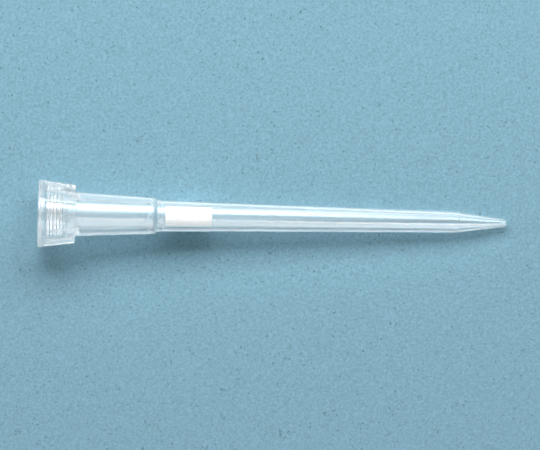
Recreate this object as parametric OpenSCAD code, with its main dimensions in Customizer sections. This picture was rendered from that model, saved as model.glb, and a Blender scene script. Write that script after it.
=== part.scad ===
// Filtered pipette tip: one moulded polypropylene tip with a porous filter plug inside.
// It stands on its mouth. The origin is at the centre of the mouth and +Z runs to the nozzle.

/* [Overall] */
// Length from the mouth to the end of the nozzle
overall_l = 50; // [46:0.5:60]

/* [Collar] */
// Diameter of the rim at the mouth
rim_d = 7.26; // [7:0.02:8]
// Height of the plain ring at the mouth, below the ribs
rim_ring_h = 0.7; // [0.4:0.05:1]
// Height of the collar, from the mouth to the face that sits on a rack
collar_h = 3.95; // [3.9:0.05:5]
// Slope of the collar's side, in degrees from the axis
collar_slope = 7.5; // [5:0.25:9]
// Number of ribs round the collar
rib_count = 12; // [6:1:16]
// Height of each rib above the collar's wall
rib_h = 0.34; // [0.2:0.02:0.4]
// Width of each rib
rib_w = 0.32; // [0.2:0.02:0.5]
// Bevel round the outer edge of the mouth
rim_bevel = 0.08; // [0.04:0.02:0.2]

/* [Socket] */
// Diameter of the socket that the pipette's nose goes into
socket_d = 4.84; // [4.7:0.02:5]
// Depth of the socket's straight wall, from the mouth
socket_depth = 2.9; // [2.8:0.02:3]
// Size of the lead-in at the mouth
lead_in = 0.3; // [0.1:0.05:0.4]
// Number of grooves in the socket's wall, with a sealing ring between each two
groove_count = 5; // [2:1:5]
// Depth of a groove
groove_depth = 0.12; // [0.05:0.01:0.15]
// Width of a groove
groove_w = 0.22; // [0.16:0.02:0.3]
// Distance from one groove to the next
groove_pitch = 0.37; // [0.35:0.01:0.44]
// Distance from the mouth to the middle of the first groove
groove_start = 0.98; // [0.7:0.02:1]
// Slope of the stop below the socket, in degrees from the axis
stop_slope = 29; // [25:1:50]

/* [Body] */
// Length of the wide body, from the collar to the shoulder
body_l = 8.35; // [7:0.05:12]
// Outer diameter of the body at the collar
body_start_d = 4.68; // [4.4:0.02:4.8]
// Outer diameter of the body at the shoulder
body_end_d = 3.88; // [3.8:0.02:4.2]
// Wall of the body at the collar
body_start_wall = 0.8; // [0.5:0.05:1]
// Wall of the body at the shoulder
body_end_wall = 0.66; // [0.5:0.02:0.7]

/* [Shoulder] */
// Length of the shoulder's steep part
shoulder_step_l = 0.35; // [0.2:0.05:0.6]
// Length of the shoulder's hollow curve, down to the tube
shoulder_curve_l = 1; // [0.6:0.05:1.5]
// Outer diameter where the steep part meets the curve
shoulder_mid_d = 3.46; // [3.4:0.02:3.7]
// Length of the cone inside the shoulder
shoulder_bore_l = 0.4; // [0.4:0.05:1]
// How far the cone inside starts before the shoulder outside
shoulder_lead = 0.1; // [0.1:0.05:0.5]

/* [Tube] */
// Outer diameter of the tube below the shoulder
tube_start_d = 3.33; // [3.1:0.01:3.38]
// Wall of the tube below the shoulder
tube_start_wall = 0.58; // [0.4:0.01:0.6]
// Length of the tube's upper part, which holds the filter
tube_upper_l = 7.4; // [6.5:0.1:9]
// Outer diameter where the tube's upper part ends
tube_mid_d = 2.98; // [2.7:0.01:3.05]
// Wall where the tube's upper part ends
tube_mid_wall = 0.5; // [0.4:0.01:0.55]
// Outer diameter of the tube at the knee
knee_d = 2.22; // [2.2:0.01:2.6]
// Wall of the tube at the knee
knee_wall = 0.36; // [0.3:0.01:0.45]

/* [Nozzle] */
// Length of the nozzle, from the knee to the end
nozzle_l = 5.1; // [4:0.1:7]
// Outer diameter of the nozzle at the knee
nozzle_start_d = 2.14; // [2:0.01:2.2]
// Outer diameter at the end of the nozzle
nozzle_end_d = 0.8; // [0.75:0.01:1.1]
// Step of the bore at the knee
knee_step = 0.05; // [0.02:0.01:0.08]
// Diameter of the orifice
orifice_d = 0.5; // [0.4:0.01:0.55]
// Radius round the outer edge of the nozzle's end
nozzle_round = 0.08; // [0.04:0.01:0.1]

/* [Filter] */
// Length of the filter plug
filter_l = 5; // [3:0.1:5.5]
// Distance from the shoulder's cone to the filter plug
filter_set_back = 0.9; // [0.4:0.05:1.5]
// Clearance between the filter plug and the bore
filter_clearance = 0.01; // [0.005:0.005:0.03]
// Bevel round the ends of the filter plug
filter_bevel = 0.08; // [0.02:0.02:0.2]

/* [Hidden] */
$fn = 96;
curve_steps = 8;
overlap = 0.2;

// Stations along the axis, from the mouth
body_end_z = collar_h + body_l;
shoulder_mid_z = body_end_z + shoulder_step_l;
tube_start_z = shoulder_mid_z + shoulder_curve_l;
tube_mid_z = tube_start_z + tube_upper_l;
knee_z = overall_l - nozzle_l;

// Radii of the collar and of its stop
rim_r = rim_d / 2;
collar_end_r = rim_r - collar_h * tan(collar_slope);
core_start_r = rim_r - rim_ring_h * tan(collar_slope) - rib_h;
core_end_r = collar_end_r - rib_h;
socket_r = socket_d / 2;
body_bore_r = body_start_d / 2 - body_start_wall;
stop_end_z = socket_depth + (socket_r - body_bore_r) / tan(stop_slope);

// Bore of the body, the tube and the nozzle
bore_neck_z = body_end_z - shoulder_lead;
tube_bore_z = bore_neck_z + shoulder_bore_l;
tube_bore_r = tube_start_d / 2 - tube_start_wall;
knee_bore_r = knee_d / 2 - knee_wall;
bore_line = [
    [stop_end_z, body_bore_r],
    [bore_neck_z, body_end_d / 2 - body_end_wall],
    [tube_bore_z, tube_bore_r],
    [tube_mid_z, tube_mid_d / 2 - tube_mid_wall],
    [knee_z, knee_bore_r],
    [knee_z + knee_step, knee_bore_r - knee_step],
    [overall_l, orifice_d / 2]
];

// Filter plug, held in the tube's bore
filter_start_z = tube_bore_z + filter_set_back;
filter_end_z = filter_start_z + filter_l;

// Radius of the bore at a height
function bore_r(z) = lookup(z, bore_line);

// Radius of the filter plug at a height
function filter_r(z) = bore_r(z) - filter_clearance;

// Hollow curve of the shoulder: steep where it starts and smooth where it meets the tube
function shoulder_curve() = [
    for (i = [0 : curve_steps])
        let (t = i / curve_steps)
            [tube_start_d / 2 + (shoulder_mid_d - tube_start_d) / 2 * pow(1 - t, 2), shoulder_mid_z + t * shoulder_curve_l]
];

// Quarter circle round the end of the nozzle
function nozzle_end_curve() = [
    for (i = [0 : curve_steps])
        let (a = 90 * i / curve_steps)
            [nozzle_end_d / 2 - nozzle_round * (1 - cos(a)), overall_l - nozzle_round * (1 - sin(a))]
];

// Three corners of one groove's section, from the mouth inwards
function groove_points(z) = [
    [socket_r, z - groove_w / 2],
    [socket_r + groove_depth, z],
    [socket_r, z + groove_w / 2]
];

// Outside of the tip without its ribs
module outer_form() {
    rotate_extrude()
        polygon(concat(
            [
                [0, 0],
                [rim_r - rim_bevel, 0],
                [rim_r - rim_bevel * tan(collar_slope), rim_bevel],
                [core_start_r + rib_h, rim_ring_h],
                [core_start_r, rim_ring_h],
                [core_end_r, collar_h],
                [body_start_d / 2, collar_h],
                [body_end_d / 2, body_end_z]
            ],
            shoulder_curve(),
            [[tube_mid_d / 2, tube_mid_z], [knee_d / 2, knee_z], [nozzle_start_d / 2, knee_z + knee_step]],
            nozzle_end_curve(),
            [[0, overall_l]]
        ));
}

// Room inside: lead-in, grooved socket, stop, body bore, tube bore and orifice
module bore() {
    rotate_extrude()
        polygon(concat(
            [[0, -overlap], [socket_r + lead_in + overlap, -overlap], [socket_r, lead_in]],
            [for (i = [0 : groove_count - 1]) each groove_points(groove_start + i * groove_pitch)],
            [[socket_r, socket_depth]],
            [for (p = bore_line) [p[1], p[0]]],
            [[orifice_d / 2, overall_l + overlap], [0, overall_l + overlap]]
        ));
}

// Cone between the rim ring and the end of the collar that the ribs' crests lie on
module rib_envelope() {
    rotate_extrude()
        polygon([
            [socket_r, 0],
            [rim_r - overlap * tan(collar_slope), overlap],
            [collar_end_r, collar_h],
            [socket_r, collar_h]
        ]);
}

module ribs() {
    intersection() {
        rib_envelope();
        for (i = [0 : rib_count - 1])
            rotate([0, 0, i * 360 / rib_count])
                translate([socket_r, -rib_w / 2, rim_ring_h / 2])
                    cube([rim_r - socket_r, rib_w, collar_h - rim_ring_h / 2]);
    }
}

module tip_body() {
    color([0.86, 0.93, 0.96, 0.5])
        difference() {
            union() {
                outer_form();
                ribs();
            }
            bore();
        }
}

module filter_plug() {
    color("white")
        rotate_extrude()
            polygon([
                [0, filter_start_z],
                [filter_r(filter_start_z) - filter_bevel, filter_start_z],
                [filter_r(filter_start_z + filter_bevel), filter_start_z + filter_bevel],
                [filter_r(filter_end_z - filter_bevel), filter_end_z - filter_bevel],
                [filter_r(filter_end_z) - filter_bevel, filter_end_z],
                [0, filter_end_z]
            ]);
}

tip_body();
filter_plug();
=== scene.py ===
"""Looks of a filtered pipette tip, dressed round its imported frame.

The tip is one moulded shell of clear, slightly milky polypropylene, made as a single profile carried
round the axis. The filter plug inside it is a turned grain of white porous plastic.
"""

import logging
import math
from dataclasses import dataclass, field
from enum import Enum

import bpy
import numpy as np
from mathutils import Matrix, Vector

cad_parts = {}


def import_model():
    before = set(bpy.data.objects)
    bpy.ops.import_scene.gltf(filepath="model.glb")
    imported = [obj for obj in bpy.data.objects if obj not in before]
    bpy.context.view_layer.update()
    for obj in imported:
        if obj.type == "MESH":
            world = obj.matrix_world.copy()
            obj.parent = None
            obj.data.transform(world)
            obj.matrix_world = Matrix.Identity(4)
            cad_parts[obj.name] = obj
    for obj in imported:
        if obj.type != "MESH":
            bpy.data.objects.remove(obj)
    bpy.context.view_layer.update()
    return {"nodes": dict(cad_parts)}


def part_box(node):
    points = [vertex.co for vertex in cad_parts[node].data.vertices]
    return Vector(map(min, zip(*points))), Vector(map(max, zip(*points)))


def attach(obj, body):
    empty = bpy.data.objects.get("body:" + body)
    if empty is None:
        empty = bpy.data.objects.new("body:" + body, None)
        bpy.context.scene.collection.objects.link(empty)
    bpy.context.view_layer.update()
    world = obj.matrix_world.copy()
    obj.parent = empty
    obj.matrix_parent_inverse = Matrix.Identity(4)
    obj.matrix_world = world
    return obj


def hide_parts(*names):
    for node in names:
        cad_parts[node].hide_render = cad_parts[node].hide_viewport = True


log = logging.getLogger("pipette_tip")

MM = 0.001

Colour = tuple[float, float, float, float]
Socket = bpy.types.NodeSocket
Corner = tuple[float, float, float, float]


class MathStep(Enum):
    """What a Math node works out, under Blender's names."""

    ABSOLUTE = "ABSOLUTE"
    ADD = "ADD"
    ANGLE = "ARCTAN2"
    GREATER_THAN = "GREATER_THAN"
    LESS_THAN = "LESS_THAN"
    MAXIMUM = "MAXIMUM"
    MINIMUM = "MINIMUM"
    MULTIPLY = "MULTIPLY"
    MULTIPLY_ADD = "MULTIPLY_ADD"
    SUBTRACT = "SUBTRACT"


def rounded_rows(rows: np.ndarray, reach: np.ndarray, steps: int, largest_share: float = 0.45) -> np.ndarray:
    """Rounds every corner of a closed line.

    A corner C with reach t becomes the curve C + t((1 - s)^2 a + s^2 b), where a and b are the unit
    directions towards the corners before and after it and s runs from 0 to 1. A corner without reach
    stays one point.

    Args:
        rows: The corners in order, one row each, in any number of dimensions.
        reach: How far each corner's curve reaches along its two sides.
        steps: The number of points on each curve.
        largest_share: A curve reaches no further than this share of the shorter side.

    Returns:
        The points of all curves in order, one row each.
    """
    before = np.roll(rows, 1, axis=0) - rows
    after = np.roll(rows, -1, axis=0) - rows
    before_length = np.linalg.norm(before, axis=1)
    after_length = np.linalg.norm(after, axis=1)
    limit = largest_share * np.minimum(before_length, after_length)
    t = np.minimum(reach, limit)[:, None, None]
    a = (before / before_length[:, None])[:, None, :]
    b = (after / after_length[:, None])[:, None, :]
    s = np.linspace(0.0, 1.0, steps)[None, :, None]
    curve = rows[:, None, :] + t * ((1 - s) ** 2 * a + s**2 * b)
    keep = np.zeros((len(rows), steps), dtype=bool)
    keep[:, 0] = True
    keep[reach > 0] = True
    return curve[keep]


def with_guards(rows: np.ndarray, longest: float, pieces: int) -> np.ndarray:
    """Adds points on the long sides of a closed line, closer together near their ends.

    A side longer than the limit gets points at (1 - cos(pi k / pieces)) / 2 of its length, so that
    the smooth shading of a curve doesn't run out along the straight side next to it.

    Args:
        rows: The points in order, one row each.
        longest: A side longer than this gets more points.
        pieces: How many pieces such a side is cut into.

    Returns:
        The closed line with its added points.
    """
    after = np.roll(rows, -1, axis=0)
    long_side = np.linalg.norm(after - rows, axis=1) > longest
    share = 0.5 * (1 - np.cos(np.pi * np.arange(pieces) / pieces))
    filled = rows[:, None, :] + share[None, :, None] * (after - rows)[:, None, :]
    keep = np.zeros((len(rows), pieces), dtype=bool)
    keep[:, 0] = True
    keep[long_side] = True
    return filled[keep]


def grid_faces(rings: int, samples: int) -> np.ndarray:
    """Joins a grid that closes on itself in both directions.

    Args:
        rings: Number of rings along the section.
        samples: Number of points round each ring.

    Returns:
        One row of four vertex numbers for each face.
    """
    i = np.arange(rings)[:, None]
    j = np.arange(samples)[None, :]
    next_i = (i + 1) % rings
    next_j = (j + 1) % samples
    corners = [i * samples + j, i * samples + next_j, next_i * samples + next_j, next_i * samples + j]
    return np.stack([np.broadcast_to(c, (rings, samples)) for c in corners], axis=-1).reshape(-1, 4)


def turned_points(radius: np.ndarray, angle: np.ndarray, z: np.ndarray) -> np.ndarray:
    """Turns radius, angle and height into places: (r cos a, r sin a, z) for each point.

    Args:
        radius: The radius of every point.
        angle: The angle of every point round the axis, in radians.
        z: The height of every point.

    Returns:
        One row of three coordinates for each point.
    """
    return np.stack([radius * np.cos(angle), radius * np.sin(angle), z], axis=-1).reshape(-1, 3)


def make_mesh(name: str, points: np.ndarray, quads: np.ndarray,
              triangles: np.ndarray | None = None) -> bpy.types.Object:
    """Puts arrays of points and faces into a new mesh object with smooth faces.

    Args:
        name: The new object's name.
        points: Vertex places in metres, one row each.
        quads: Four vertex numbers a row.
        triangles: Three vertex numbers a row, if there are any.

    Returns:
        The new object, linked to the scene.
    """
    mesh = bpy.data.meshes.new(name)
    faces = quads.tolist() + (triangles.tolist() if triangles is not None else [])
    mesh.from_pydata(points.tolist(), [], faces)
    mesh.polygons.foreach_set("use_smooth", np.ones(len(mesh.polygons), dtype=bool))
    mesh.validate()
    mesh.update()
    piece = bpy.data.objects.new(name, mesh)
    bpy.context.scene.collection.objects.link(piece)
    return piece


class NodeBoard:
    """Small helper that adds and joins the nodes of one node tree."""

    def __init__(self, tree: bpy.types.NodeTree) -> None:
        """Takes a node tree and empties it."""
        self.tree = tree
        self.tree.nodes.clear()

    def add(self, kind: str, **settings: object) -> bpy.types.ShaderNode:
        """Adds a node.

        Args:
            kind: Blender's name for the node type.
            settings: Attributes of the node, or its inputs' values where the name is an input's,
                with underscores for spaces.

        Returns:
            The new node.
        """
        node = self.tree.nodes.new(kind)
        for key, value in settings.items():
            if hasattr(node, key):
                setattr(node, key, value)
            else:
                node.inputs[key.replace("_", " ")].default_value = value
        return node

    def join(self, source: Socket, target: Socket) -> None:
        """Joins an output to an input."""
        self.tree.links.new(source, target)

    def calculate(self, step: MathStep, *numbers: Socket | float) -> Socket:
        """Adds a Math node.

        Args:
            step: What it works out.
            numbers: The outputs, or plain numbers, that feed its inputs in order.

        Returns:
            The node's output.
        """
        node = self.add("ShaderNodeMath", operation=step.value)
        for target, number in zip(node.inputs, numbers):
            if isinstance(number, Socket):
                self.join(number, target)
            else:
                target.default_value = number
        return node.outputs["Value"]

    def ramp(self, source: Socket, start: float, end: float, low: float = 0.0, high: float = 1.0) -> Socket:
        """Adds a straight ramp, level before its start and after its end.

        Args:
            source: The output that feeds it.
            start: Where the ramp starts.
            end: Where it ends. It may be less than the start.
            low: Its value at the start.
            high: Its value at the end.

        Returns:
            The ramp's output.
        """
        node = self.add("ShaderNodeMapRange", From_Min=start, From_Max=end, To_Min=low, To_Max=high)
        self.join(source, node.inputs["Value"])
        return node.outputs["Result"]

    def window(self, source: Socket, rise: tuple[float, float], fall: tuple[float, float]) -> Socket:
        """Adds a window: one ramp times another that runs the other way.

        Args:
            source: The output that feeds it.
            rise: Where the window is 0 and where it is 1 at its lower side.
            fall: Where the window is 0 and where it is 1 at its upper side.

        Returns:
            The window's output, from 0 to 1.
        """
        return self.calculate(MathStep.MULTIPLY, self.ramp(source, *rise), self.ramp(source, *fall))

    def blend(self, share: Socket, first: Colour, second: Colour) -> Socket:
        """Adds a blend of two colours.

        Args:
            share: The output that gives the second colour's share.
            first: The first colour.
            second: The second colour.

        Returns:
            The blended colour's output.
        """
        node = self.add("ShaderNodeMix", data_type="RGBA")
        node.inputs["A"].default_value = first
        node.inputs["B"].default_value = second
        self.join(share, node.inputs["Factor"])
        return node.outputs["Result"]

    def object_place(self) -> Socket:
        """Adds the object coordinates and returns their output."""
        return self.add("ShaderNodeTexCoord").outputs["Object"]

    def height(self, place: Socket) -> Socket:
        """Adds the height of a place.

        Args:
            place: The output that gives the place.

        Returns:
            The output that gives its Z.
        """
        split = self.add("ShaderNodeSeparateXYZ")
        self.join(place, split.inputs["Vector"])
        return split.outputs["Z"]

    def texture(self, kind: str, place: Socket, **settings: float) -> bpy.types.ShaderNode:
        """Adds a texture node that reads a place.

        Args:
            kind: Blender's name for the texture node.
            place: The output that gives the place.
            settings: The texture's inputs.

        Returns:
            The texture's node.
        """
        node = self.add(kind, **settings)
        self.join(place, node.inputs["Vector"])
        return node

    def bump(self, source: Socket, shader: bpy.types.ShaderNode, strength: float, height: float,
             inverted: bool = False) -> None:
        """Raises a shader's surface by a texture.

        Args:
            source: The texture's output.
            shader: The shader whose surface is raised.
            strength: How much of the relief shows.
            height: The relief's height, in metres.
            inverted: Whether high values lie low.
        """
        node = self.add("ShaderNodeBump", Strength=strength, Distance=height, invert=inverted)
        self.join(source, node.inputs["Height"])
        self.join(node.outputs["Normal"], shader.inputs["Normal"])


def start_material(name: str) -> tuple[bpy.types.Material, NodeBoard]:
    """Makes an empty node material.

    Args:
        name: The material's name.

    Returns:
        The material and the board of its nodes.
    """
    material = bpy.data.materials.new(name)
    material.use_nodes = True
    return material, NodeBoard(material.node_tree)


@dataclass(frozen=True)
class ClearPolypropylene:
    """Clear, slightly milky, smooth moulded plastic. Lengths are in metres."""

    tint: Colour = (0.98, 0.985, 0.985, 1.0)
    clearness: float = 1.0
    refraction: float = 1.49
    haze_density: float = 250.0
    haze_forward: float = 0.5
    roughness_low: float = 0.008
    roughness_high: float = 0.03
    flow_scale: float = 900.0
    flow_stretch: float = 0.12
    flow_detail: float = 4.0
    flow_grain: float = 0.55
    flow_range: tuple[float, float] = (0.3, 0.7)
    bump_strength: float = 0.25
    bump_height: float = 0.00001
    ring_start: float = 0.01232
    ring_end: float = 0.0126
    ring_roughness: float = 0.4
    # Darker grey-teal base colour of the band at the shoulder's step: painted shade, not a colour of the
    # plastic.
    ring_painted_shade: Colour = (0.62, 0.74, 0.77, 1.0)
    band_edge: float = 0.0001
    scuff_start: float = 0.0117
    scuff_end: float = 0.0136
    scuff_radius: float = 0.00135
    scuff_scale: float = 2600.0
    scuff_detail: float = 2.0
    scuff_range: tuple[float, float] = (0.5, 0.6)
    scuff_roughness: float = 0.5

    def make(self) -> bpy.types.Material:
        """Builds the material: glass-like plastic whose gloss and surface vary along the flow lines, with a
        rougher band at the shoulder's step whose darker grey-teal base colour is painted shade.

        Returns:
            The finished material.
        """
        material, board = start_material("clear_polypropylene")
        output = board.add("ShaderNodeOutputMaterial")
        shader = board.add("ShaderNodeBsdfPrincipled", Transmission_Weight=self.clearness,
                           IOR=self.refraction)
        place = board.object_place()
        stretch = board.add("ShaderNodeMapping", Scale=(1.0, 1.0, self.flow_stretch))
        board.join(place, stretch.inputs["Vector"])
        flow = board.texture("ShaderNodeTexNoise", stretch.outputs["Vector"], Scale=self.flow_scale,
                             Detail=self.flow_detail, Roughness=self.flow_grain).outputs["Fac"]
        gloss = board.ramp(flow, *self.flow_range, self.roughness_low, self.roughness_high)
        scuffs = board.calculate(MathStep.MULTIPLY, self.scuff_mask(board, place), self.scuff_roughness)
        rough = board.calculate(MathStep.MAXIMUM, gloss, scuffs)
        # Painted shade: the band at the shoulder's step gets a darker grey-teal base colour. Its higher
        # roughness is real.
        ring = self.band_mask(board, place, self.ring_start, self.ring_end)
        board.join(board.blend(ring, self.tint, self.ring_painted_shade), shader.inputs["Base Color"])
        ring_rough = board.calculate(MathStep.MULTIPLY, ring, self.ring_roughness)
        board.join(board.calculate(MathStep.MAXIMUM, rough, ring_rough), shader.inputs["Roughness"])
        board.bump(flow, shader, self.bump_strength, self.bump_height)
        haze = board.add("ShaderNodeVolumeScatter", Density=self.haze_density,
                         Anisotropy=self.haze_forward)
        board.join(shader.outputs["BSDF"], output.inputs["Surface"])
        board.join(haze.outputs["Volume"], output.inputs["Volume"])
        return material

    def band_mask(self, board: NodeBoard, place: Socket, start: float, end: float) -> Socket:
        """Adds a mask that is 1 between two heights and fades out past them.

        Args:
            board: The material's nodes.
            place: The output that gives the object coordinates.
            start: The lower height, in metres.
            end: The higher height, in metres.

        Returns:
            The output that gives the mask, from 0 to 1.
        """
        return board.window(board.height(place), (start - self.band_edge, start),
                            (end + self.band_edge, end))

    def scuff_mask(self, board: NodeBoard, place: Socket) -> Socket:
        """Adds the scuffs that the plug left in the bore as it was pressed in.

        The mask is a noise cut off at a threshold, times a window along the axis, times 1 inside a
        radius and 0 outside it.

        Args:
            board: The material's nodes.
            place: The output that gives the object coordinates.

        Returns:
            The output that gives the mask, from 0 to 1.
        """
        flat = board.add("ShaderNodeVectorMath", operation="MULTIPLY")
        flat.inputs[1].default_value = (1.0, 1.0, 0.0)
        board.join(place, flat.inputs[0])
        radius = board.add("ShaderNodeVectorMath", operation="LENGTH")
        board.join(flat.outputs["Vector"], radius.inputs[0])
        marks = board.texture("ShaderNodeTexNoise", place, Scale=self.scuff_scale,
                              Detail=self.scuff_detail)
        mask = board.ramp(marks.outputs["Fac"], *self.scuff_range)
        band = self.band_mask(board, place, self.scuff_start, self.scuff_end)
        inside = board.calculate(MathStep.LESS_THAN, radius.outputs["Value"], self.scuff_radius)
        mask = board.calculate(MathStep.MULTIPLY, mask, band)
        return board.calculate(MathStep.MULTIPLY, mask, inside)


@dataclass(frozen=True)
class PorousPolyethylene:
    """White sintered plastic of fine grains, dull and slightly uneven."""

    light: Colour = (0.93, 0.93, 0.925, 1.0)
    shade: Colour = (0.80, 0.80, 0.79, 1.0)
    grain_scale: float = 9000.0
    pore_range: tuple[float, float] = (0.35, 0.75)
    roughness: float = 0.9
    bump_strength: float = 0.6
    bump_height: float = 0.00003

    def make(self) -> bpy.types.Material:
        """Builds the material: grains from a cell pattern, darker between them and raised in them.

        Returns:
            The finished material.
        """
        material, board = start_material("porous_filter")
        output = board.add("ShaderNodeOutputMaterial")
        shader = board.add("ShaderNodeBsdfPrincipled", Roughness=self.roughness)
        grains = board.texture("ShaderNodeTexVoronoi", board.object_place(),
                               Scale=self.grain_scale).outputs["Distance"]
        pores = board.ramp(grains, *self.pore_range)
        board.join(board.blend(pores, self.light, self.shade), shader.inputs["Base Color"])
        board.bump(grains, shader, self.bump_strength, self.bump_height, inverted=True)
        board.join(shader.outputs["BSDF"], output.inputs["Surface"])
        return material


@dataclass
class MouldedTip:
    """The one-piece tip: rim, ribbed collar, grooved socket, body, shoulder, tube and nozzle.

    Sizes are in millimetres. Heights run from the mouth to the nozzle. A name that ends in round is
    how far the rounding of that edge reaches along its two sides.
    """

    length: float
    rim_r: float
    rim_ring_h: float = 0.7
    rim_slope_h: float = 0.04
    collar_h: float = 3.95
    collar_slope: float = math.radians(7.5)
    collar_foot: float = 0.05
    rib_count: int = 12
    rib_h: float = 0.34
    rib_w: float = 0.32
    rib_power: int = 8
    rib_steps: int = 13
    fillet_mid: float = 1.12
    fillet_end: float = 1.3
    fillet_rise: float = 0.05
    bay_steps: int = 7
    socket_r: float = 2.42
    socket_depth: float = 2.9
    stop_end_z: float = 4.5
    lead_in: float = 0.3
    groove_count: int = 5
    groove_depth: float = 0.12
    groove_w: float = 0.22
    groove_pitch: float = 0.37
    groove_start: float = 0.98
    body_l: float = 8.35
    body_start_r: float = 2.34
    body_end_r: float = 1.94
    body_start_wall: float = 0.8
    body_end_wall: float = 0.66
    shoulder_step_l: float = 0.35
    shoulder_curve_l: float = 1.0
    shoulder_steps: int = 8
    shoulder_mid_r: float = 1.73
    shoulder_bore_l: float = 0.4
    shoulder_lead: float = 0.1
    tube_start_r: float = 1.665
    tube_start_wall: float = 0.58
    tube_upper_l: float = 7.4
    tube_mid_r: float = 1.49
    tube_mid_wall: float = 0.5
    knee_r: float = 1.11
    knee_wall: float = 0.36
    nozzle_l: float = 5.1
    nozzle_start_r: float = 1.07
    nozzle_end_r: float = 0.4
    knee_step: float = 0.05
    orifice_r: float = 0.25
    mouth_round: float = 0.06
    rim_round: float = 0.12
    rim_slope_round: float = 0.05
    rib_start_round: float = 0.06
    rib_end_round: float = 0.05
    foot_round: float = 0.02
    body_round: float = 0.1
    step_round: float = 0.08
    tube_bend_round: float = 2.0
    knee_round: float = 0.03
    nozzle_end_round: float = 0.08
    groove_round: float = 0.025
    socket_end_round: float = 0.15
    stop_round: float = 0.4
    neck_round: float = 0.03
    bore_knee_round: float = 0.02
    orifice_round: float = 0.03
    corner_steps: int = 6
    guard_from_l: float = 1.0
    guard_pieces: int = 10
    finish: ClearPolypropylene = field(default_factory=ClearPolypropylene)

    @property
    def body_end_z(self) -> float:
        """Height at which the body ends and the shoulder starts."""
        return self.collar_h + self.body_l

    @property
    def tube_start_z(self) -> float:
        """Height at which the shoulder's curve meets the tube."""
        return self.body_end_z + self.shoulder_step_l + self.shoulder_curve_l

    @property
    def tube_mid_z(self) -> float:
        """Height at which the tube's upper part ends."""
        return self.tube_start_z + self.tube_upper_l

    @property
    def knee_z(self) -> float:
        """Height of the knee."""
        return self.length - self.nozzle_l

    def crest(self, z: float) -> float:
        """Radius of the collar's ribs at a height."""
        return self.rim_r - z * math.tan(self.collar_slope)

    def bore_line(self) -> np.ndarray:
        """Works out the line of the bore, from the stop to the orifice.

        Returns:
            Heights and radii, one row each.
        """
        body_bore = self.body_start_r - self.body_start_wall
        neck_z = self.body_end_z - self.shoulder_lead
        knee_bore = self.knee_r - self.knee_wall
        return np.array([
            (self.stop_end_z, body_bore),
            (neck_z, self.body_end_r - self.body_end_wall),
            (neck_z + self.shoulder_bore_l, self.tube_start_r - self.tube_start_wall),
            (self.tube_mid_z, self.tube_mid_r - self.tube_mid_wall),
            (self.knee_z, knee_bore),
            (self.knee_z + self.knee_step, knee_bore - self.knee_step),
            (self.length, self.orifice_r),
        ])

    def bore_radius(self, z: np.ndarray) -> np.ndarray:
        """Radius of the bore at each height."""
        line = self.bore_line()
        return np.interp(z, line[:, 0], line[:, 1])

    def outside_corners(self) -> list[Corner]:
        """Corners of the outside, from the mouth to the nozzle.

        The shoulder runs into the tube along r = tube + (middle - tube)(1 - t)^2, with t from 0 to 1.

        Returns:
            Rows of height, radius between the ribs, height of the ribs there, and reach of the rounding.
        """
        core = [self.crest(z) - self.rib_h for z in (self.rim_ring_h, self.collar_h)]
        slope_start = self.rim_ring_h - self.rim_slope_h
        step_end = self.body_end_z + self.shoulder_step_l
        t = np.linspace(0.0, 1.0, self.shoulder_steps + 1)[1:]
        curve_z = step_end + t * self.shoulder_curve_l
        curve_r = self.tube_start_r + (self.shoulder_mid_r - self.tube_start_r) * (1 - t) ** 2
        return [
            (0.0, self.socket_r + self.lead_in, 0.0, self.mouth_round),
            (0.0, self.rim_r, 0.0, self.rim_round),
            (slope_start, self.crest(slope_start), 0.0, self.rim_slope_round),
            (self.rim_ring_h + self.rim_slope_h, core[0], self.rib_h, self.rib_start_round),
            (self.collar_h, core[1], self.rib_h, self.rib_end_round),
            (self.collar_h, core[1] - self.collar_foot, 0.0, self.foot_round),
            (self.collar_h, self.body_start_r, 0.0, self.body_round),
            (self.body_end_z, self.body_end_r, 0.0, self.body_round),
            (step_end, self.shoulder_mid_r, 0.0, self.step_round),
            *[(z, r, 0.0, 0.0) for z, r in zip(curve_z, curve_r)],
            (self.tube_mid_z, self.tube_mid_r, 0.0, self.tube_bend_round),
            (self.knee_z, self.knee_r, 0.0, self.knee_round),
            (self.knee_z + self.knee_step, self.nozzle_start_r, 0.0, self.knee_round),
            (self.length, self.nozzle_end_r, 0.0, self.nozzle_end_round),
        ]

    def groove_corners(self) -> list[Corner]:
        """Corners of the socket's V-shaped grooves, from the mouth inwards.

        Returns:
            Rows as outside_corners gives them: edge, bottom and edge of each groove.
        """
        return [
            (
                self.groove_start + number * self.groove_pitch + side * self.groove_w / 2,
                self.socket_r + (side == 0) * self.groove_depth,
                0.0,
                self.groove_round,
            )
            for number in range(self.groove_count)
            for side in (-1, 0, 1)
        ]

    def inside_corners(self) -> list[Corner]:
        """Corners of the bore, from the orifice back to the lead-in.

        Returns:
            Rows as outside_corners gives them.
        """
        bore_rounds = (
            self.stop_round, self.neck_round, self.neck_round, self.tube_bend_round,
            self.bore_knee_round, self.bore_knee_round, self.orifice_round,
        )
        line = [
            (self.lead_in, self.socket_r, 0.0, self.mouth_round),
            *self.groove_corners(),
            (self.socket_depth, self.socket_r, 0.0, self.socket_end_round),
            *[(z, r, 0.0, reach) for (z, r), reach in zip(self.bore_line(), bore_rounds)],
        ]
        return line[::-1]

    def section(self) -> np.ndarray:
        """Works out the tip's closed section, with its edges rounded.

        Returns:
            Height, radius and rib height of every ring, one row each.
        """
        corners = np.array(self.outside_corners() + self.inside_corners())
        rounded = rounded_rows(corners[:, :3], corners[:, 3], self.corner_steps)
        return with_guards(rounded, self.guard_from_l, self.guard_pieces)

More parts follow.
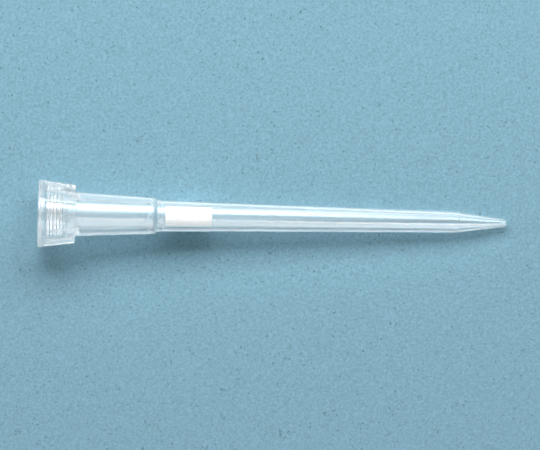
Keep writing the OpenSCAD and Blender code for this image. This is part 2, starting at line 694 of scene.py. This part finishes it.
    def rib_samples(self) -> tuple[np.ndarray, np.ndarray, np.ndarray]:
        """Samples of one pitch round the axis.

        A sample's angle is a share of the rib's half angle plus a share of the bay's half angle. Its
        shape is 1 on the rib and 0 in the bay. On the rib it is (1 - |s|^n)^(1/n) at s, with s = sin
        of evenly spaced angles and n the rib's power, and a small fillet runs out beside it.

        Returns:
            Shares of the rib's half angle, shares of the bay, and shapes, one value for each sample.
        """
        s = np.sin(np.linspace(-0.5, 0.5, self.rib_steps) * np.pi)
        on_rib = (1 - np.abs(s) ** self.rib_power) ** (1 / self.rib_power)
        fillet = np.array([self.fillet_mid, self.fillet_end])
        bay = np.linspace(0.0, 2.0, self.bay_steps + 2)[1:-1]
        in_bay = np.full(len(bay), self.fillet_end)
        rib_share = np.concatenate([s, fillet, in_bay, 2 * self.fillet_end - fillet[::-1]])
        bay_share = np.concatenate([np.zeros(len(s) + len(fillet)), bay, np.full(len(fillet), 2.0)])
        rise = np.array([self.fillet_rise, 0.0])
        shape = np.concatenate([on_rib, rise, np.zeros(len(bay)), rise[::-1]])
        return rib_share, bay_share, shape

    def build(self) -> bpy.types.Object:
        """Carries the section round the axis.

        A point at ring (z, r, h) and sample (angle a, shape f) lies at radius r + h f, and a is set
        ring by ring so that the ribs keep their width.

        Returns:
            The tip's mesh object.
        """
        rings = self.section()
        rib_share, bay_share, shape = self.rib_samples()
        pitch = 2 * math.pi / self.rib_count
        collar_core = np.clip(rings[:, 1], self.crest(self.collar_h) - self.rib_h, None)
        half_rib = np.arcsin(self.rib_w / 2 / collar_core)[:, None]
        half_bay = pitch / 2 - self.fillet_end * half_rib
        in_pitch = rib_share[None, :] * half_rib + bay_share[None, :] * half_bay
        turn = np.arange(self.rib_count)[None, :, None] * pitch
        angle = (in_pitch[:, None, :] + turn).reshape(len(rings), -1)
        shape_round = np.tile(shape, self.rib_count)[None, :]
        radius = rings[:, 1:2] + rings[:, 2:3] * shape_round
        z = np.broadcast_to(rings[:, 0:1], radius.shape)
        faces = grid_faces(len(rings), angle.shape[1])
        piece = make_mesh("moulded_tip", turned_points(radius, angle, z) * MM, faces)
        piece.data.materials.append(self.finish.make())
        return piece


@dataclass
class FilterPlug:
    """The porous plug in the tube's bore. Sizes are in millimetres."""

    tip: MouldedTip
    start_z: float
    end_z: float
    clearance: float = 0.015
    edge: float = 0.08
    grain_depth: float = 0.012
    face_rings: int = 13
    edge_rings: int = 5
    side_rings: int = 84
    samples: int = 160
    seed: int = 11
    finish: PorousPolyethylene = field(default_factory=PorousPolyethylene)

    def fitted_radius(self, z: np.ndarray) -> np.ndarray:
        """Radius of the plug's side at each height: the bore's, less the clearance."""
        return self.tip.bore_radius(z) - self.clearance

    def section(self) -> tuple[np.ndarray, np.ndarray]:
        """Works out the plug's section, without the pole at either end.

        It runs out along the lower face, round a quarter circle, up the side, round a quarter circle
        and back along the upper face.

        Returns:
            The radius and the height of every ring.
        """
        e = self.edge
        face = np.linspace(0.0, 1.0, self.face_rings + 1)[1:]
        arc = np.linspace(0.0, np.pi / 2, self.edge_rings + 1)
        side = np.linspace(-1.0, 1.0, self.side_rings + 2)[1:-1]
        side_z = (self.end_z + self.start_z) / 2 + side * ((self.end_z - self.start_z) / 2 - e)
        r_start, r_end = self.fitted_radius(np.array([self.start_z, self.end_z]))
        radius = np.concatenate([
            face * (r_start - e), r_start - e + e * np.sin(arc[1:]),
            self.fitted_radius(side_z),
            r_end - e + e * np.cos(arc[:-1]), face[::-1] * (r_end - e),
        ])
        z = np.concatenate([
            np.full(len(face), self.start_z), self.start_z + e - e * np.cos(arc[1:]),
            side_z,
            self.end_z - e + e * np.sin(arc[:-1]), np.full(len(face), self.end_z),
        ])
        return radius, z

    def build(self) -> bpy.types.Object:
        """Carries the section round the axis and gives it a grainy skin.

        Every point is moved inwards by a seeded random depth of up to one grain: towards the axis by
        the depth times min(1, r / edge), and along the axis too on the faces and their edges.

        Returns:
            The plug's mesh object.
        """
        half = (self.end_z - self.start_z) / 2
        middle = (self.end_z + self.start_z) / 2
        r, z = self.section()
        rng = np.random.default_rng(self.seed)
        dent = rng.random((len(r), self.samples)) * self.grain_depth
        angle = np.linspace(0.0, 2 * np.pi, self.samples, endpoint=False)[None, :]
        radius = r[:, None] - dent * np.minimum(1.0, r / self.edge)[:, None]
        inwards = np.sign(middle - z)[:, None] * (np.abs(z - middle) > half - self.edge)[:, None]
        poles = np.array([[0.0, 0.0, self.start_z], [0.0, 0.0, self.end_z]])
        points = np.concatenate([turned_points(radius, angle, z[:, None] + inwards * dent), poles]) * MM
        quads = grid_faces(len(r), self.samples)[: (len(r) - 1) * self.samples]
        j = np.arange(self.samples)
        next_j = (j + 1) % self.samples
        last = (len(r) - 1) * self.samples
        low = np.stack([np.full_like(j, len(points) - 2), next_j, j], axis=-1)
        high = np.stack([np.full_like(j, len(points) - 1), last + j, last + next_j], axis=-1)
        piece = make_mesh("porous_plug", points, quads, np.concatenate([low, high]))
        piece.data.materials.append(self.finish.make())
        return piece


@dataclass
class Studio:
    """Camera, paper, floor and lamps.

    The tip stands on its mouth. The paper stands behind it and touches its rim and its knee, and the
    camera looks square at the paper with the nozzle to its right. Lengths are in metres.
    """

    tip: MouldedTip
    plug: bpy.types.Object
    azimuth: float = math.radians(-6.4)
    image_turn: float = math.radians(1.2)
    distance: float = 0.6
    frame_width: float = 0.05748
    mouth_left: float = 0.4296
    mouth_up: float = 0.0217
    sensor_width: float = 36.0
    nearest: float = 0.01
    farthest: float = 20.0
    sheet_side: float = 2.0
    lamp_angle: float = math.radians(43.0)
    lamp_distance: float = 0.35
    lamp_length: float = 0.42
    lamp_height: float = 0.18
    lamp_radiance: float = 6.6
    plug_lamp_angle: float = math.radians(-5.0)
    plug_lamp_radiance: float = 4.6
    paper_colour: Colour = (0.259, 0.474, 0.586, 1.0)
    fibre_scale: float = 4200.0
    fibre_detail: float = 3.0
    fibre_grain: float = 0.6
    fibre_range: tuple[float, float] = (0.3, 0.7)
    mottle: float = 0.17
    speck_scale: float = 3200.0
    speck_detail: float = 1.0
    speck_range: tuple[float, float] = (0.69, 0.74)
    speck_level: float = 0.6
    # How far the painted glow on the paper fades out at the tip's ends.
    painted_glow_edge: float = 0.0008
    fill_strength: float = 0.2
    room_colour: Colour = (1.0, 1.0, 1.0, 1.0)
    box_end: float = 0.55
    box_fade: float = 0.25
    past_box_end: float = 0.03
    brightest: float = 4.0
    brightest_through: float = 1.3
    through_colour: Colour = (0.6, 0.72, 0.78, 1.0)
    walls_crossed: float = 3.5
    clear_bounces: int = 32
    dull_bounces: int = 12
    levels: tuple[tuple[float, float], ...] = (
        (-180.0, 0.18), (-175.0, 0.09), (-170.0, 0.19), (-165.0, 0.05), (-160.0, 0.38), (-154.0, 0.47),
        (-148.0, 0.47), (-140.0, 0.03), (-125.0, 0.00), (-110.0, 0.10), (-98.0, 1.24), (-90.0, 1.63),
        (-80.0, 1.67), (-66.0, 1.20), (-56.0, 1.05), (-45.0, 1.29), (-33.0, 1.34), (-22.0, 0.91),
        (-14.0, 0.63), (13.0, 0.57), (19.0, 0.84), (26.0, 1.04), (55.0, 0.67), (78.0, 0.64),
        (94.0, 0.47), (112.0, 0.29), (134.0, 0.33), (144.0, 0.13), (151.0, 0.59), (157.0, 0.76),
        (167.0, 0.84), (180.0, 0.18),
    )

    def __post_init__(self) -> None:
        """Works out the directions that the camera, the paper and the lamps share."""
        lean = math.atan2(self.tip.rim_r - self.tip.knee_r, self.tip.knee_z)
        turn = Matrix.Rotation(self.azimuth, 3, "Z")
        self.forward = turn @ Vector((0.0, math.cos(lean), math.sin(lean)))
        along = (Vector((0, 0, 1)) - self.forward * self.forward.z).normalized()
        upwards = (-self.forward).cross(along)
        c, s = math.cos(self.image_turn), math.sin(self.image_turn)
        self.right = along * c + upwards * s
        self.up = upwards * c - along * s
        self.touch = turn @ Vector((0.0, self.tip.rim_r * MM, 0.0))

    def basis(self) -> Matrix:
        """Rotation whose axes are the camera's right, up and back."""
        return Matrix((self.right, self.up, -self.forward)).transposed().to_4x4()

    def toward(self, angle: float) -> Vector:
        """Direction that lies an angle from the camera towards the top of the image."""
        return self.up * math.sin(angle) - self.forward * math.cos(angle)

    def add_camera(self) -> None:
        """Places the camera and makes it the scene's own."""
        data = bpy.data.cameras.new("camera")
        data.sensor_width = self.sensor_width
        data.lens = data.sensor_width * self.distance / self.frame_width
        data.clip_start = self.nearest
        data.clip_end = self.farthest
        camera = bpy.data.objects.new("camera", data)
        bpy.context.scene.collection.objects.link(camera)
        target = (self.right * self.mouth_left - self.up * self.mouth_up) * self.frame_width
        camera.matrix_world = Matrix.Translation(target - self.forward * self.distance) @ self.basis()
        bpy.context.scene.camera = camera

    def level_round_the_tip(self, board: NodeBoard, place: Socket) -> Socket:
        """Adds nodes that look up the light for a place or direction round the tip's length.

        The angle runs from the camera (0 degrees) over the top of the image (90 degrees), and
        self.levels gives the level at each angle, joined by straight lines.

        Args:
            board: The nodes to add them to.
            place: The output that gives the place or direction.

        Returns:
            The output that gives the level.
        """
        parts = [self.part_along(board, place, axis) for axis in (self.up, -self.forward)]
        angle = board.calculate(MathStep.ANGLE, *parts)
        share = board.calculate(MathStep.MULTIPLY_ADD, angle, 0.5 / math.pi, 0.5)
        table = board.add("ShaderNodeValToRGB")
        board.join(share, table.inputs["Fac"])
        stops = table.color_ramp.elements
        for number, (degrees, level) in enumerate(self.levels):
            stop = stops[number] if number < 2 else stops.new(1.0)
            stop.position = degrees / 360 + 0.5
            stop.color = (level / self.brightest,) * 3 + (1.0,)
        return board.calculate(MathStep.MULTIPLY, table.outputs["Color"], self.brightest)

    def part_along(self, board: NodeBoard, place: Socket, axis: Vector) -> Socket:
        """Adds the part of a place or direction that lies along an axis.

        Args:
            board: The nodes to add it to.
            place: The output that gives the place or direction.
            axis: The axis, of length 1.

        Returns:
            The output that gives the part.
        """
        part = board.add("ShaderNodeVectorMath", operation="DOT_PRODUCT")
        part.inputs[1].default_value = axis
        board.join(place, part.inputs[0])
        return part.outputs["Value"]

    def paper_pattern(self, board: NodeBoard, place: Socket, colour: Colour) -> Socket:
        """Adds the paper's colour: a mottle of fibres, with darker specks.

        Args:
            board: The material's nodes.
            place: The output that gives the object coordinates.
            colour: The paper's middle colour.

        Returns:
            The output that gives the colour.
        """
        fibres = board.texture("ShaderNodeTexNoise", place, Scale=self.fibre_scale,
                               Detail=self.fibre_detail, Roughness=self.fibre_grain)
        spread = board.ramp(fibres.outputs["Fac"], *self.fibre_range)
        dark = (*[(1 - self.mottle) * c for c in colour[:3]], 1.0)
        light = (*[(1 + self.mottle) * c for c in colour[:3]], 1.0)
        mottled = board.blend(spread, dark, light)
        specks = board.texture("ShaderNodeTexNoise", place, Scale=self.speck_scale,
                               Detail=self.speck_detail)
        shade = board.ramp(specks.outputs["Fac"], *self.speck_range, 1.0, self.speck_level)
        specked = board.add("ShaderNodeVectorMath", operation="SCALE")
        board.join(mottled, specked.inputs["Vector"])
        board.join(shade, specked.inputs["Scale"])
        return specked.outputs["Vector"]

    def painted_glow_level(self, board: NodeBoard, place: Socket) -> Socket:
        """Adds a painted glow on the paper beside the tip, which only the plastic sees: an emission that
        stands in for light the tip bends onto the paper.

        It is the level round the tip, for rays that have crossed plastic and no paper, within the
        tip's length.

        Args:
            board: The material's nodes.
            place: The output that gives the object coordinates.

        Returns:
            The output that gives the level.
        """
        path = board.add("ShaderNodeLightPath").outputs
        first = board.calculate(MathStep.LESS_THAN, path["Diffuse Depth"], 0.5)
        behind = board.calculate(MathStep.MULTIPLY, first, path["Is Transmission Ray"])
        level = board.calculate(MathStep.MULTIPLY, behind, self.level_round_the_tip(board, place))
        end = self.tip.length * MM
        beside = board.window(board.height(place), (-self.painted_glow_edge, self.painted_glow_edge),
                              (end + self.painted_glow_edge, end - self.painted_glow_edge))
        return board.calculate(MathStep.MULTIPLY, level, beside)

    def one_sided(self, name: str, colour: Colour) -> bpy.types.Material:
        """Makes a mottled paper that can't be seen from behind, with a painted glow that only rays through
        the plastic see.

        Args:
            name: The material's name.
            colour: The paper's middle colour.

        Returns:
            The finished material.
        """
        material, board = start_material(name)
        output = board.add("ShaderNodeOutputMaterial")
        place = board.object_place()
        paper = board.add("ShaderNodeBsdfDiffuse")
        board.join(self.paper_pattern(board, place, colour), paper.inputs["Color"])
        # Painted glow: the paper emits light that is seen only through the plastic.
        painted_glow = board.add("ShaderNodeEmission")
        board.join(self.painted_glow_level(board, place), painted_glow.inputs["Strength"])
        both = board.add("ShaderNodeAddShader")
        board.join(paper.outputs["BSDF"], both.inputs[0])
        board.join(painted_glow.outputs["Emission"], both.inputs[1])
        clear = board.add("ShaderNodeBsdfTransparent")
        choice = board.add("ShaderNodeMixShader")
        board.join(board.add("ShaderNodeNewGeometry").outputs["Backfacing"], choice.inputs[0])
        board.join(both.outputs["Shader"], choice.inputs[1])
        board.join(clear.outputs["BSDF"], choice.inputs[2])
        board.join(choice.outputs["Shader"], output.inputs["Surface"])
        return material

    def add_sheet(self, name: str, place: Matrix) -> bpy.types.Object:
        """Lays out a square sheet of paper that faces along its local Z.

        Args:
            name: The sheet's name.
            place: Where its middle goes and how it is turned.

        Returns:
            The sheet's object.
        """
        half = self.sheet_side / 2
        corners = np.array([(-half, -half, 0), (half, -half, 0), (half, half, 0), (-half, half, 0)])
        sheet = make_mesh(name, corners, np.array([[0, 1, 2, 3]]))
        sheet.data.transform(place)
        sheet.data.materials.append(self.one_sided(name, self.paper_colour))
        return sheet

    def add_stage(self) -> None:
        """Adds the paper behind the tip and the floor under it."""
        self.add_sheet("backdrop_paper", Matrix.Translation(self.touch) @ self.basis())
        floor = self.add_sheet("floor", Matrix.Identity(4))
        floor.visible_shadow = False
        floor.visible_diffuse = False
        floor.visible_glossy = False
        floor.visible_transmission = False

    def add_area(self, name: str, angle: float, radiance: float) -> bpy.types.Object:
        """Adds an even area lamp that faces the middle of the tip.

        Args:
            name: The lamp's name.
            angle: Its angle from the camera towards the top of the image, in radians.
            radiance: Its brightness, where 1 is white.

        Returns:
            The lamp's object.
        """
        data = bpy.data.lights.new(name, "AREA")
        data.shape = "RECTANGLE"
        data.size = self.lamp_length
        data.size_y = self.lamp_height
        data.energy = radiance * math.pi * self.lamp_length * self.lamp_height
        lamp = bpy.data.objects.new(name, data)
        bpy.context.scene.collection.objects.link(lamp)
        middle = self.toward(angle) * self.lamp_distance
        back = middle.normalized()
        across = (self.right - back * self.right.dot(back)).normalized()
        turn = Matrix((across, back.cross(across), back)).transposed().to_4x4()
        target = Vector((0, 0, self.tip.length * MM / 2))
        lamp.matrix_world = Matrix.Translation(target + middle) @ turn
        return lamp

    def add_lamps(self) -> None:
        """Adds the soft key lamp above the image and the plug's own lamps, in front and behind.

        The key lamp lights the paper and casts the tip's shadow. The plug's lamps shine through the
        shell, which would otherwise keep it dark.
        """
        self.add_area("key_lamp", self.lamp_angle, self.lamp_radiance)
        plug_only = bpy.data.collections.new("plug_only")
        plug_only.objects.link(self.plug)
        for name, turn in (("plug_lamp", 0.0), ("plug_back_lamp", math.pi)):
            lamp = self.add_area(name, self.plug_lamp_angle + turn, self.plug_lamp_radiance)
            lamp.visible_glossy = False
            lamp.visible_transmission = False
            lamp.light_linking.receiver_collection = plug_only
            lamp.light_linking.blocker_collection = plug_only

    def add_room(self) -> None:
        """Surrounds the scene with soft boxes that the plastic mirrors and bends, and an even fill.

        The soft boxes are seen by rays from the camera and by rays that the plastic mirrors or bends
        before they meet paper. All others get the even fill. Rays that have crossed the near and the
        far wall of the tube see the boxes softer and with a little of the paper's colour, so that the
        tip looks clear from the side and from behind too.
        """
        world = bpy.data.worlds.new("room")
        world.use_nodes = True
        board = NodeBoard(world.node_tree)
        output = board.add("ShaderNodeOutputWorld")
        light = board.add("ShaderNodeBackground")
        board.join(light.outputs["Background"], output.inputs["Surface"])
        way = board.add("ShaderNodeTexCoord").outputs["Generated"]
        path = board.add("ShaderNodeLightPath").outputs
        seen = path["Is Camera Ray"]
        for kind in ("Is Glossy Ray", "Is Transmission Ray"):
            seen = board.calculate(MathStep.MAXIMUM, seen, path[kind])
        first = board.calculate(MathStep.LESS_THAN, path["Diffuse Depth"], 0.5)
        seen = board.calculate(MathStep.MULTIPLY, seen, first)
        along = board.calculate(MathStep.ABSOLUTE, self.part_along(board, way, self.right))
        short = board.ramp(along, self.box_end, self.box_end + self.box_fade, 1.0, self.past_box_end)
        boxes = board.calculate(MathStep.MULTIPLY, self.level_round_the_tip(board, way), short)
        through = board.calculate(MathStep.GREATER_THAN, path["Transmission Depth"], self.walls_crossed)
        board.join(board.blend(through, self.room_colour, self.through_colour), light.inputs["Color"])
        limit = board.calculate(MathStep.MULTIPLY_ADD, through, self.brightest_through - self.brightest,
                                self.brightest)
        boxes = board.calculate(MathStep.MINIMUM, boxes, limit)
        extra = board.calculate(MathStep.SUBTRACT, boxes, self.fill_strength)
        extra = board.calculate(MathStep.MULTIPLY, seen, extra)
        board.join(board.calculate(MathStep.ADD, extra, self.fill_strength), light.inputs["Strength"])
        bpy.context.scene.world = world

    def allow_long_paths(self) -> None:
        """Lets light pass the many walls and turns of a clear thick tube before it is given up."""
        paths = bpy.context.scene.cycles
        paths.max_bounces = self.clear_bounces
        paths.transmission_bounces = self.clear_bounces
        paths.glossy_bounces = self.clear_bounces
        paths.diffuse_bounces = self.dull_bounces
        paths.volume_bounces = self.dull_bounces
        paths.blur_glossy = 0.0

    def set_up(self) -> None:
        """Adds the whole studio."""
        self.allow_long_paths()
        self.add_camera()
        self.add_stage()
        self.add_lamps()
        self.add_room()


def main() -> None:
    """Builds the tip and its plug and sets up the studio."""
    logging.basicConfig(level=logging.INFO, format="%(name)s: %(message)s")
    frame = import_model()
    log.info("frame: %d nodes", len(frame["nodes"]))
    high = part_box("tip_body")[1]
    plug_low, plug_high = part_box("filter_plug")
    bpy.context.scene.view_settings.view_transform = "Standard"
    tip = MouldedTip(length=high.z / MM, rim_r=3.63)
    shell = tip.build()
    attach(shell, "root")
    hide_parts("tip_body")
    log.info("moulded tip: %d faces", len(shell.data.polygons))
    plug = FilterPlug(tip, start_z=plug_low.z / MM, end_z=plug_high.z / MM)
    core = plug.build()
    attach(core, "root")
    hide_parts("filter_plug")
    log.info("porous plug: %d faces", len(core.data.polygons))
    Studio(tip, plug=core).set_up()
    log.info("studio set up")


if __name__ == "__main__":
    main()
